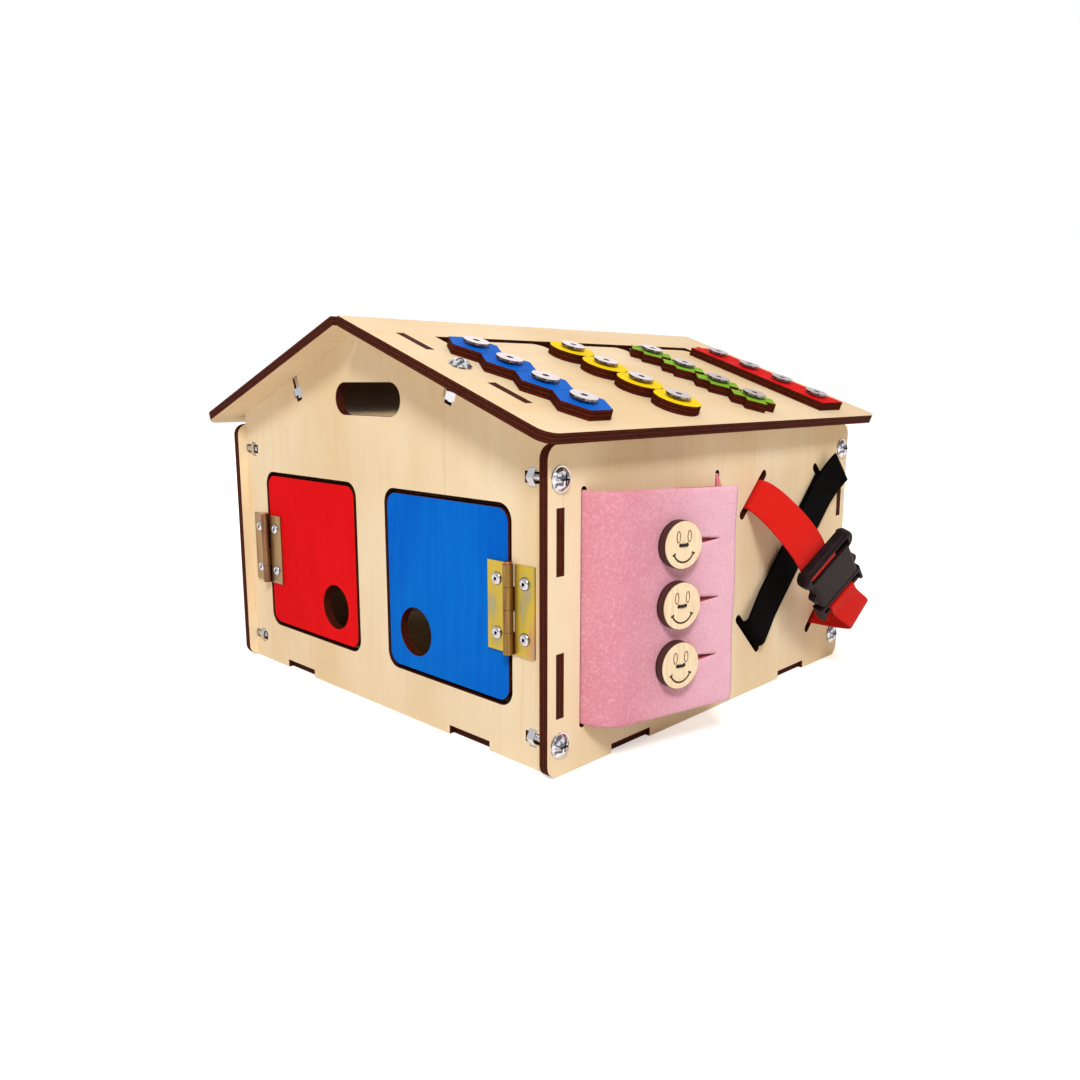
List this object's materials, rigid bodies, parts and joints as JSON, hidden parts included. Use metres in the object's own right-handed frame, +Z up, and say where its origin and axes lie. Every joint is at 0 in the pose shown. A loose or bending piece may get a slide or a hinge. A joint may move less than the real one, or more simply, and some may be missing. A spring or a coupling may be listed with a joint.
{
  "type": "activity house",
  "caption": "Plywood activity house with hinged doors, sliding shape tokens in a roof slot, a buttoned felt flap and crossed straps with a buckle on a side wall.",
  "frame": {"origin": "centre of the base panel's underside, where the house stands", "axes": "+Z up, -Y out of the front gable with the doors, +X out of the side wall with the felt and straps"},
  "size_m": [0.3967, 0.358, 0.2506],
  "materials": {
    "plywood": "sanded, burnt laser-cut edges",
    "zinc_steel": "bright zinc",
    "chromate_steel": "yellow chromate",
    "rivet_aluminium": "bright",
    "nickel_steel": "polished nickel",
    "felt": "thick pink felt",
    "red_webbing": "ribbed polypropylene webbing",
    "hook_and_loop": "black hook-and-loop tape",
    "buckle_plastic": "satin moulded",
    "blue_wood": "painted top, bare edges",
    "yellow_wood": "painted top, bare edges",
    "green_wood": "painted top, bare edges",
    "red_wood": "painted top, bare edges"
  },
  "bodies": {
    "house": {"base_panel": "plywood", "front_gable_wall": "plywood", "back_gable_wall": "plywood", "left_side_wall": "plywood", "right_side_wall": "plywood", "roof_panel_left": "plywood", "roof_panel_right": "plywood", "frame_bolts": "zinc_steel", "frame_nuts": "zinc_steel", "hinge_wall_leaves": "chromate_steel", "hinge_pins": "chromate_steel", "hinge_wall_rivets": "rivet_aluminium", "red_webbing_upper": "red_webbing", "loop_strap": "hook_and_loop", "buckle_female": "buckle_plastic"},
    "red_door": {"red_door": "plywood", "red_door_hinge_leaf": "chromate_steel", "red_door_rivets": "rivet_aluminium"},
    "blue_door": {"blue_door": "plywood", "blue_door_hinge_leaf": "chromate_steel", "blue_door_rivets": "rivet_aluminium"},
    "felt_flap": {"felt_flap": "felt"},
    "button_strip": {"felt_button_strip": "felt", "wooden_buttons": "plywood"},
    "buckle_release": {"buckle_male": "buckle_plastic", "buckle_prongs": "buckle_plastic", "red_webbing_lower": "red_webbing"},
    "hook_strap": {"hook_strap": "hook_and_loop"},
    "blue_slider_1": {"blue_token_1": "blue_wood", "blue_token_bolt_1": "nickel_steel"},
    "blue_slider_2": {"blue_token_2": "blue_wood", "blue_token_bolt_2": "nickel_steel"},
    "blue_slider_3": {"blue_token_3": "blue_wood", "blue_token_bolt_3": "nickel_steel"},
    "blue_slider_4": {"blue_token_4": "blue_wood", "blue_token_bolt_4": "nickel_steel"},
    "yellow_slider_1": {"yellow_token_1": "yellow_wood", "yellow_token_bolt_1": "nickel_steel"},
    "yellow_slider_2": {"yellow_token_2": "yellow_wood", "yellow_token_bolt_2": "nickel_steel"},
    "yellow_slider_3": {"yellow_token_3": "yellow_wood", "yellow_token_bolt_3": "nickel_steel"},
    "yellow_slider_4": {"yellow_token_4": "yellow_wood", "yellow_token_bolt_4": "nickel_steel"},
    "green_slider_1": {"green_token_1": "green_wood", "green_token_bolt_1": "nickel_steel"},
    "green_slider_2": {"green_token_2": "green_wood", "green_token_bolt_2": "nickel_steel"},
    "green_slider_3": {"green_token_3": "green_wood", "green_token_bolt_3": "nickel_steel"},
    "green_slider_4": {"green_token_4": "green_wood", "green_token_bolt_4": "nickel_steel"},
    "red_slider_1": {"red_token_1": "red_wood", "red_token_bolt_1": "nickel_steel"},
    "red_slider_2": {"red_token_2": "red_wood", "red_token_bolt_2": "nickel_steel"},
    "red_slider_3": {"red_token_3": "red_wood", "red_token_bolt_3": "nickel_steel"},
    "red_slider_4": {"red_token_4": "red_wood", "red_token_bolt_4": "nickel_steel"}
  },
  "joints": [
    {"name": "red_door_hinge", "type": "hinge", "parent": "house", "child": "red_door", "pos_m": [-0.1316, -0.1606, 0.0885], "axis": [0, 0, -1], "range_deg": [0, 170]},
    {"name": "blue_door_hinge", "type": "hinge", "parent": "house", "child": "blue_door", "pos_m": [0.1316, -0.1606, 0.0885], "axis": [0, 0, 1], "range_deg": [0, 170]},
    {"name": "felt_flap_fold", "type": "hinge", "parent": "house", "child": "felt_flap", "pos_m": [0.165, -0.1365, 0.09], "axis": [0, 0, -1], "range_deg": [0, 60], "deforming": ["felt_flap"]},
    {"name": "button_strip_fold", "type": "hinge", "parent": "house", "child": "button_strip", "pos_m": [0.165, -0.0113, 0.09], "axis": [0, 0, 1], "range_deg": [0, 15], "deforming": ["felt_button_strip"]},
    {"name": "buckle_release_slide", "type": "slide", "parent": "house", "child": "buckle_release", "axis": [-0.1564, 0.7783, -0.6081], "range_m": [0, 0.024], "deforming": ["buckle_prongs", "red_webbing_lower"]},
    {"name": "hook_strap_peel", "type": "hinge", "parent": "house", "child": "hook_strap", "pos_m": [0.1683, 0.1006, 0.1109], "axis": [0, 0.7071, -0.7071], "range_deg": [0, 60], "deforming": ["hook_strap"]},
    {"name": "blue_token_slide_1", "type": "slide", "parent": "house", "child": "blue_slider_1", "axis": [-0.9397, 0, 0.342], "range_m": [0, 0.03]},
    {"name": "blue_token_slide_2", "type": "slide", "parent": "house", "child": "blue_slider_2", "axis": [-0.9397, 0, 0.342], "range_m": [0, 0.03]},
    {"name": "blue_token_slide_3", "type": "slide", "parent": "house", "child": "blue_slider_3", "axis": [-0.9397, 0, 0.342], "range_m": [0, 0.03]},
    {"name": "blue_token_slide_4", "type": "slide", "parent": "house", "child": "blue_slider_4", "axis": [-0.9397, 0, 0.342], "range_m": [0, 0.03]},
    {"name": "yellow_token_slide_1", "type": "slide", "parent": "house", "child": "yellow_slider_1", "axis": [-0.9397, 0, 0.342], "range_m": [0, 0.03]},
    {"name": "yellow_token_slide_2", "type": "slide", "parent": "house", "child": "yellow_slider_2", "axis": [-0.9397, 0, 0.342], "range_m": [0, 0.03]},
    {"name": "yellow_token_slide_3", "type": "slide", "parent": "house", "child": "yellow_slider_3", "axis": [-0.9397, 0, 0.342], "range_m": [0, 0.03]},
    {"name": "yellow_token_slide_4", "type": "slide", "parent": "house", "child": "yellow_slider_4", "axis": [-0.9397, 0, 0.342], "range_m": [0, 0.03]},
    {"name": "green_token_slide_1", "type": "slide", "parent": "house", "child": "green_slider_1", "axis": [-0.9397, 0, 0.342], "range_m": [0, 0.03]},
    {"name": "green_token_slide_2", "type": "slide", "parent": "house", "child": "green_slider_2", "axis": [-0.9397, 0, 0.342], "range_m": [0, 0.03]},
    {"name": "green_token_slide_3", "type": "slide", "parent": "house", "child": "green_slider_3", "axis": [-0.9397, 0, 0.342], "range_m": [0, 0.03]},
    {"name": "green_token_slide_4", "type": "slide", "parent": "house", "child": "green_slider_4", "axis": [-0.9397, 0, 0.342], "range_m": [0, 0.03]},
    {"name": "red_token_slide_1", "type": "slide", "parent": "house", "child": "red_slider_1", "axis": [-0.9397, 0, 0.342], "range_m": [0, 0.03]},
    {"name": "red_token_slide_2", "type": "slide", "parent": "house", "child": "red_slider_2", "axis": [-0.9397, 0, 0.342], "range_m": [0, 0.03]},
    {"name": "red_token_slide_3", "type": "slide", "parent": "house", "child": "red_slider_3", "axis": [-0.9397, 0, 0.342], "range_m": [0, 0.03]},
    {"name": "red_token_slide_4", "type": "slide", "parent": "house", "child": "red_slider_4", "axis": [-0.9397, 0, 0.342], "range_m": [0, 0.03]}
  ],
  "couplings": [
    {"joint": "blue_token_slide_2", "follows": "blue_token_slide_1", "ratio": 1},
    {"joint": "blue_token_slide_3", "follows": "blue_token_slide_1", "ratio": 1},
    {"joint": "blue_token_slide_4", "follows": "blue_token_slide_1", "ratio": 1},
    {"joint": "yellow_token_slide_2", "follows": "yellow_token_slide_1", "ratio": 1},
    {"joint": "yellow_token_slide_3", "follows": "yellow_token_slide_1", "ratio": 1},
    {"joint": "yellow_token_slide_4", "follows": "yellow_token_slide_1", "ratio": 1},
    {"joint": "green_token_slide_2", "follows": "green_token_slide_1", "ratio": 1},
    {"joint": "green_token_slide_3", "follows": "green_token_slide_1", "ratio": 1},
    {"joint": "green_token_slide_4", "follows": "green_token_slide_1", "ratio": 1},
    {"joint": "red_token_slide_2", "follows": "red_token_slide_1", "ratio": 1},
    {"joint": "red_token_slide_3", "follows": "red_token_slide_1", "ratio": 1},
    {"joint": "red_token_slide_4", "follows": "red_token_slide_1", "ratio": 1}
  ]
}
